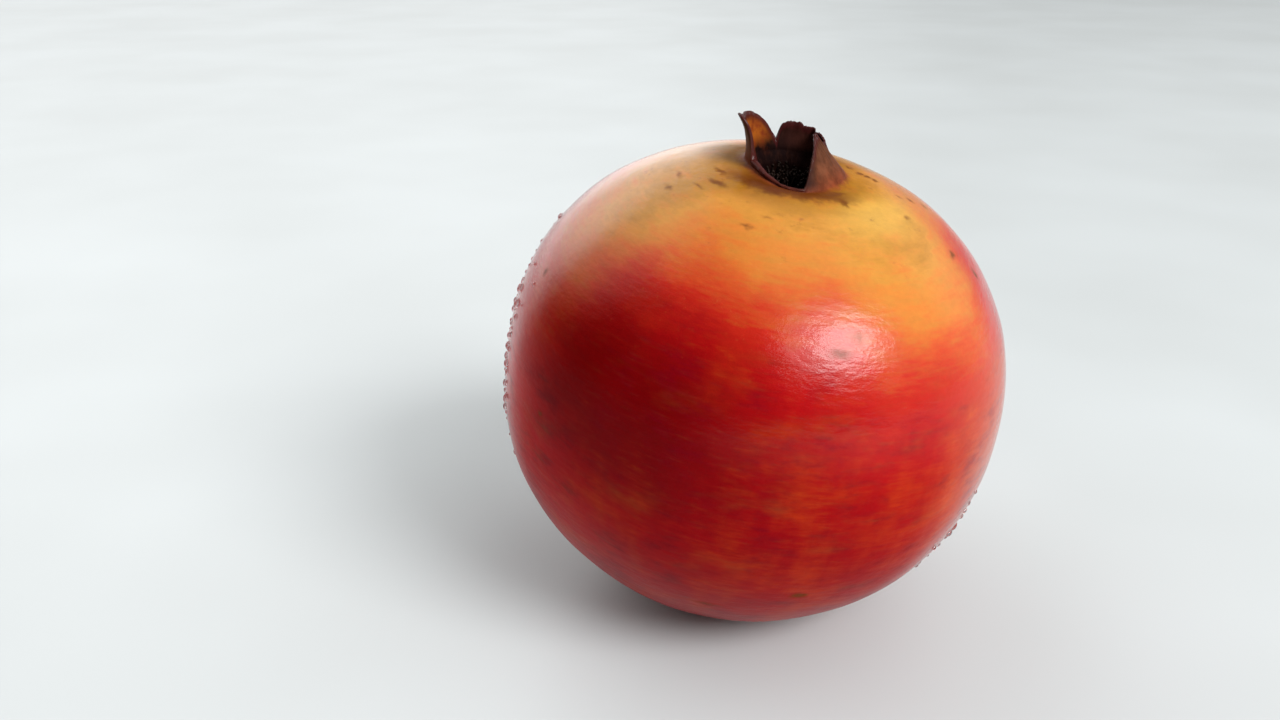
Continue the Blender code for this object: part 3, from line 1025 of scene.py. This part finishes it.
def make_stem_stub():
    """The clipped stem: a ribbed woody plug with a slightly splintered cut face."""
    profile = [(STUB_SIDE_RADIUS * i / STUB_TOP_RINGS, STUB_TOP) for i in range(1, STUB_TOP_RINGS)]
    for i in range(STUB_SIDE_RINGS):
        share = i / (STUB_SIDE_RINGS - 1)
        radius = between(STUB_SIDE_RADIUS, STUB_CUT_RADIUS, share**2)
        profile.append((radius, between(STUB_TOP, STUB_FOOT, share)))
    for i in range(1, STUB_CUT_RINGS):
        profile.append((STUB_CUT_RADIUS * (1 - i / STUB_CUT_RINGS), STUB_FOOT))
    points = [Vector((0, 0, STUB_TOP))]
    for radius, z in profile:
        for i in range(STUB_STEPS):
            level = toward(360 * i / STUB_STEPS)
            ridge = noise.fractal(level * 4.5 + Vector((0, 0, z * 60)), 1.0, 2.0, 3)
            splinter = noise.fractal(level * radius / MM * 1.8, 1.0, 2.0, 3)
            lift = 0.0
            if z == STUB_FOOT:
                lift = max(SPLINTER * splinter, -SPLINTER_DEEPEST) + CUT_RAISED
            points.append(level * radius * (1 + RIDGE * ridge) + Vector((0, 0, z + lift)))
    points.append(Vector((0, 0, STUB_FOOT + CUT_MIDDLE)))
    mesh = new_mesh("stem_stub_cut", points, ring_faces(len(profile), STUB_STEPS))
    mesh.set_sharp_from_angle(angle=math.radians(50))
    piece = make_piece("stem_stub_cut", mesh, stem_material())
    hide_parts("stem_stub")


# ---------------------------------------------------------------- water drops

# Where drops cling: directions from and to, polar angles from and to, and how many are tried there.
DROP_ZONES = (
    (96, 196, 54, 118, 230),
    (-4, 96, 60, 122, 110),
    (178, 200, 68, 112, 70),
    (-36, 0, 92, 132, 40),
)

# Their radii in mm. Most are small: a random share of the way up to the largest is taken to this power.
DROP_SMALLEST = 0.35
DROP_LARGEST = 1.10
DROP_MOSTLY_SMALL = 1.4

# How far apart two drops stay, in sums of their radii. A drop's height and how deep its middle is sunk are
# shares of its radius, and its hidden underside is so much flatter.
DROP_APART = 1.15
DROP_HEIGHT = 0.75
DROP_SUNK = 0.12
DROP_UNDERSIDE = 0.4
DROP_AROUND = 14
DROP_RINGS = 8


def skin_frame(polar, direction):
    """(point, unit normal) of the body there, in the growth frame."""
    tiny = 0.01
    point = body_position(polar, direction)
    down = body_position(polar + tiny, direction) - point
    along = body_position(polar, direction + math.degrees(tiny)) - point
    return point, down.cross(along).normalized()


def drop_places(draw):
    """Drops that don't touch each other: (point, normal, radius)."""
    found = []
    for from_direction, to_direction, from_polar, to_polar, tries in DROP_ZONES:
        for _ in range(tries):
            direction = draw.uniform(from_direction, to_direction)
            polar = math.radians(draw.triangular(from_polar, to_polar))
            radius = between(DROP_SMALLEST, DROP_LARGEST, draw.random() ** DROP_MOSTLY_SMALL) * MM
            point, normal = skin_frame(polar, direction)
            if all((point - other).length > (radius + size) * DROP_APART for other, _, size in found):
                found.append((point, normal, radius))
    return found


def water_material():
    nodes = Nodes(bpy.data.materials.new("water"))
    place = nodes.growth_place()
    ripple = nodes.noise(place, 1.2, 1.0)
    colour = nodes.mix(nodes.step(ripple, -1.0, 1.0), (0.97, 0.97, 0.98), (1.0, 1.0, 1.0))
    normal = nodes.bump(ripple, 0.05, 0.1 * MM)
    return nodes.finish(colour, 0.02, normal, transmission_weight=1.0, ior=1.33)


def make_drops():
    """The drops, each a flattened ball that is sunk a little into the skin."""
    points, faces = [], []
    for place, normal, radius in drop_places(random.Random(11)):
        tall = normal * radius * DROP_HEIGHT
        across = normal.orthogonal().normalized()
        other = normal.cross(across)
        middle = place - normal * radius * DROP_SUNK
        first = len(points)
        points.append(middle + tall)
        for r in range(1, DROP_RINGS):
            down = math.pi * r / DROP_RINGS
            up = tall * math.cos(down) * (1.0 if r < DROP_RINGS / 2 else DROP_UNDERSIDE)
            for k in range(DROP_AROUND):
                turned = 2 * math.pi * k / DROP_AROUND
                level = (across * math.cos(turned) + other * math.sin(turned)) * radius * math.sin(down)
                points.append(middle + level + up)
        points.append(middle - tall * DROP_UNDERSIDE)
        for face in ring_faces(DROP_RINGS - 1, DROP_AROUND):
            faces.append(tuple(first + index for index in face))
    make_piece("water_drops", new_mesh("water_drops", points, faces), water_material())


# ---------------------------------------------------------------- floor, light and camera

# The camera. Its focal length and how far off the picture's middle the fruit is are in pixels of a picture
# that is FRAME_WIDTH wide.
VIEW_ELEVATION = math.radians(23)
VIEW_DISTANCE = 224.2 * MM
FOCAL_PIXELS = 1150
FRAME_WIDTH = 1280
OFF_CENTRE = (109.4, 6.7)

# The floor: half its width in metres, and its two shades, which run into each other.
FLOOR_HALF = 3.0
FLOOR_SHADES = ((0.475, 0.495, 0.495), (0.535, 0.56, 0.565))

# The lamps: name, direction, distance in metres, width, height and power in watts. The second is wide and
# weak, a little further to the front, and gives the first one's highlight a halo and its shadow a soft rim.
KEY_DISTANCE = 2.4
LAMPS = (
    ("key", Vector((0.62, -0.50, 0.572)), KEY_DISTANCE, 1.2, 1.0, 51),
    ("key_halo", Vector((0.58, -0.54, 0.60)), KEY_DISTANCE * 1.05, 2.0, 1.8, 30),
)

# The soft light all round: a dim base and broad, soft-edged lobes. Each lobe is its direction, elevation,
# how far off that it is still full and how far off it ends, all in degrees, and its strength.
WORLD_COLOUR = (0.94, 0.96, 0.96)
WORLD_BASE = 0.07
WORLD_LOBES = (
    (121, 12, 20, 42, 1.6),
    (150, 44, 12, 40, 1.3),
    (60, -5, 10, 75, 0.35),
    (0, 42, 10, 60, 1.0),
    (90, 80, 10, 50, 0.5),
)


def make_floor():
    half = FLOOR_HALF
    corners = [(-half, -half, 0), (half, -half, 0), (half, half, 0), (-half, half, 0)]
    mesh = new_mesh("floor", corners, [(0, 1, 2, 3)])
    nodes = Nodes(bpy.data.materials.new("floor"))
    place = nodes.add("TexCoord", {}).outputs["Object"]
    patches = nodes.noise(place, 9.0, 2.0)
    colour = nodes.mix(nodes.step(patches, -0.8, 0.8), *FLOOR_SHADES)
    mesh.materials.append(nodes.finish(colour, 0.45, nodes.bump(patches, 0.02, 0.001)))
    floor = new_object("floor", mesh)


def make_lamps():
    for name, direction, distance, width, height, power in LAMPS:
        light = bpy.data.lights.new(name, "AREA")
        light.shape = "ELLIPSE"
        light.size = width
        light.size_y = height
        light.energy = power
        lamp = new_object(name, light)
        lamp.location = Vector((0, 0, CENTRE_HEIGHT)) + direction.normalized() * distance
        lamp.rotation_mode = "QUATERNION"
        lamp.rotation_quaternion = direction.to_track_quat("Z", "Y")


def make_world():
    nodes = Nodes(bpy.data.worlds.new("studio"), "Background")
    way = nodes.add("TexCoord", {}).outputs["Generated"]
    strength = WORLD_BASE
    for direction, elevation, full, end, level in WORLD_LOBES:
        raised = math.radians(elevation)
        near = nodes.vector("DOT_PRODUCT", way, around(direction, math.cos(raised), math.sin(raised)))
        rim, whole = math.cos(math.radians(end)), math.cos(math.radians(full))
        strength = nodes.total(strength, nodes.step(near, rim, whole, 0.0, level))
    nodes.feed(nodes.shader.inputs["Color"], WORLD_COLOUR)
    nodes.feed(nodes.shader.inputs["Strength"], strength)
    bpy.context.scene.world = nodes.owner


def make_camera():
    """The photo's own view of the fruit, which is off the middle of the picture."""
    camera = bpy.data.cameras.new("camera")
    camera.sensor_width = 36
    camera.lens = camera.sensor_width * FOCAL_PIXELS / FRAME_WIDTH
    camera.clip_start = 0.01
    camera.clip_end = 20
    shot = new_object("camera", camera)
    forward = Vector((0, math.cos(VIEW_ELEVATION), -math.sin(VIEW_ELEVATION)))
    up = Vector((0, math.sin(VIEW_ELEVATION), math.cos(VIEW_ELEVATION)))
    per_pixel = VIEW_DISTANCE / FOCAL_PIXELS
    aim = up * OFF_CENTRE[1] * per_pixel - Vector((1, 0, 0)) * OFF_CENTRE[0] * per_pixel
    shot.location = Vector((0, 0, CENTRE_HEIGHT)) - forward * VIEW_DISTANCE
    shot.rotation_mode = "QUATERNION"
    shot.rotation_quaternion = (aim + forward * VIEW_DISTANCE).to_track_quat("-Z", "Y")
    bpy.context.scene.camera = shot


def main():
    bpy.context.scene.view_settings.view_transform = "Standard"
    make_camera()
    make_floor()
    make_lamps()
    make_world()
    make_fruit()
    make_stamens()
    make_stem_stub()
    make_drops()


main()
bpy.context.view_layer.update()
